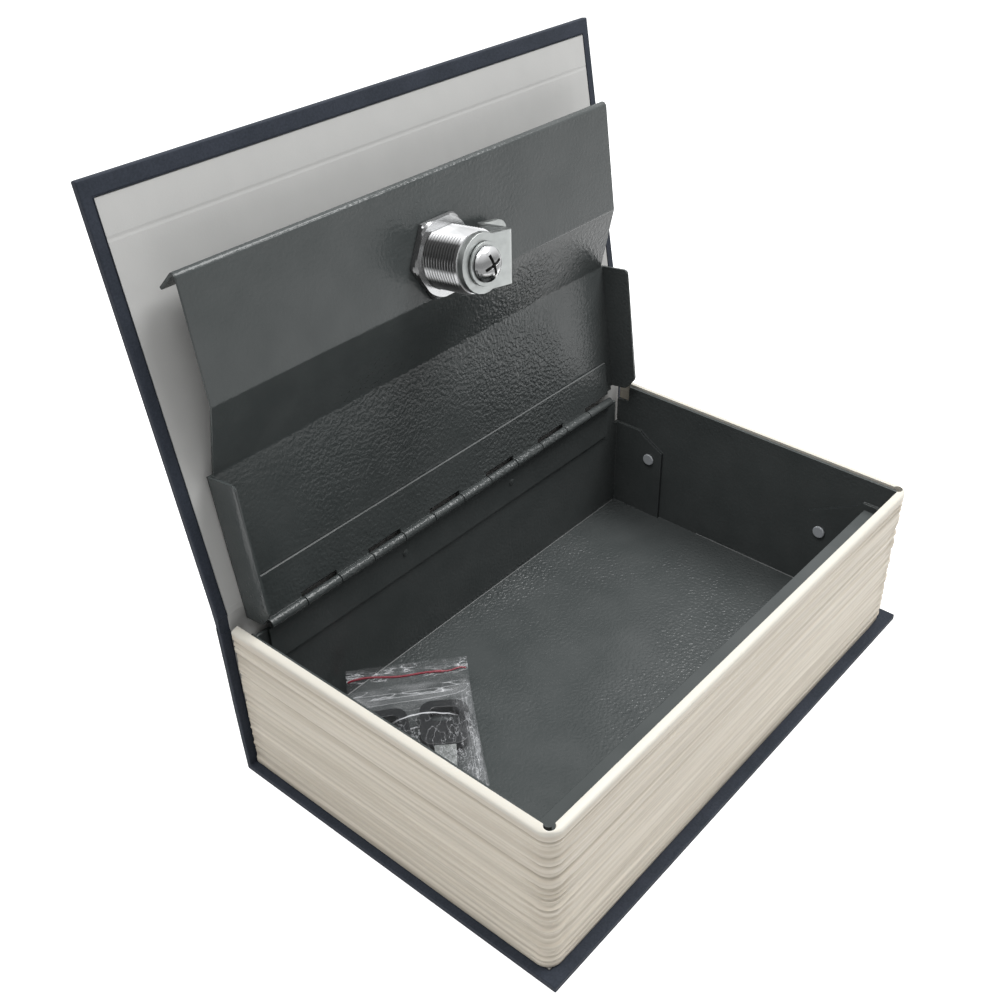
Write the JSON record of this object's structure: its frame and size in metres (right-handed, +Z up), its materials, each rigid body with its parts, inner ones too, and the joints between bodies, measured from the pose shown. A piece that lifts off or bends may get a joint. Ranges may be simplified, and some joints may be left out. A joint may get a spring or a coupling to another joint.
{
  "type": "book diversion safe",
  "caption": "Key-lock steel cash box hidden in a hollow cloth-covered book, shown open with its cover and steel lid raised and a clear bag of keys in the box.",
  "frame": {"origin": "middle of the underside of the book's bottom board, on the surface it lies on", "axes": "+Z up; X along the spine, +X to the right seen from the fore edge; the fore edge looks to -Y and the spine stands at +Y"},
  "size_m": [0.18, 0.1363, 0.17],
  "materials": {
    "book_cloth": "navy book cloth with a fine grain, matt",
    "grey_board": "raw grey board",
    "grey_paper": "light grey lining paper, matt",
    "ivory_plastic": "ivory moulded plastic, ridged like page edges",
    "dark_painted_steel": "dark grey textured powder coat, satin",
    "bright_steel": "zinc plated, bright",
    "chrome": "polished plating",
    "brass": "plain brass",
    "clear_film": "clear polythene film with a red zip line",
    "black_plastic": "black, glossy"
  },
  "bodies": {
    "book_case": {"case_cloth": "book_cloth", "bottom_board": "grey_board", "bottom_endpaper": "grey_paper", "spine_board": "grey_board", "spine_liner": "grey_paper", "page_block": "ivory_plastic", "steel_box": "dark_painted_steel", "rivet_front_left": "bright_steel", "rivet_front_right": "bright_steel", "rivet_back_left": "bright_steel", "rivet_back_right": "bright_steel", "hinge_box_leaf": "dark_painted_steel", "leaf_rivet_left": "dark_painted_steel", "leaf_rivet_right": "dark_painted_steel", "hinge_pin": "dark_painted_steel"},
    "cover_joint": {"cover_joint": "book_cloth"},
    "cover": {"cover_cloth": "book_cloth", "cover_board": "grey_board", "cover_endpaper": "grey_paper"},
    "lid": {"steel_lid": "dark_painted_steel", "hinge_lid_leaf": "dark_painted_steel", "lock_body": "chrome", "lock_nut": "bright_steel"},
    "lock_cylinder": {"lock_plug": "chrome", "lock_wafer_1": "brass", "lock_wafer_2": "brass", "lock_wafer_3": "brass", "lock_wafer_4": "brass", "lock_cam": "bright_steel", "cam_washer": "bright_steel", "cam_screw": "chrome"},
    "key_bag": {"key_bag": "clear_film", "key_1_bow": "black_plastic", "key_1_blade": "bright_steel", "key_2_bow": "black_plastic", "key_2_blade": "bright_steel"}
  },
  "joints": [
    {"name": "lid_hinge", "type": "hinge", "parent": "book_case", "child": "lid", "pos_m": [0, 0.05315, 0.0487], "axis": [-1, 0, 0], "range_deg": [-97.76, 0]},
    {"name": "cover_follow", "type": "hinge", "parent": "book_case", "child": "cover_joint", "pos_m": [0, 0.0582, 0.0545], "axis": [-1, 0, 0], "range_deg": [-99.8, 0]},
    {"name": "cover_hinge", "type": "hinge", "parent": "cover_joint", "child": "cover", "pos_m": [0, 0.0582, 0.0545], "axis": [-1, 0, 0], "range_deg": [0, 105]},
    {"name": "lock_turn", "type": "hinge", "parent": "lid", "child": "lock_cylinder", "pos_m": [0.0015, 0.05802, 0.12736], "axis": [0, -0.9908, 0.135], "range_deg": [0, 90]},
    {"name": "key_bag_slide", "type": "slide", "parent": "book_case", "child": "key_bag", "axis": [1, 0, 0], "range_m": [0, 0.09]}
  ],
  "couplings": [
    {"joint": "cover_follow", "follows": "lid_hinge", "ratio": 1.02}
  ]
}
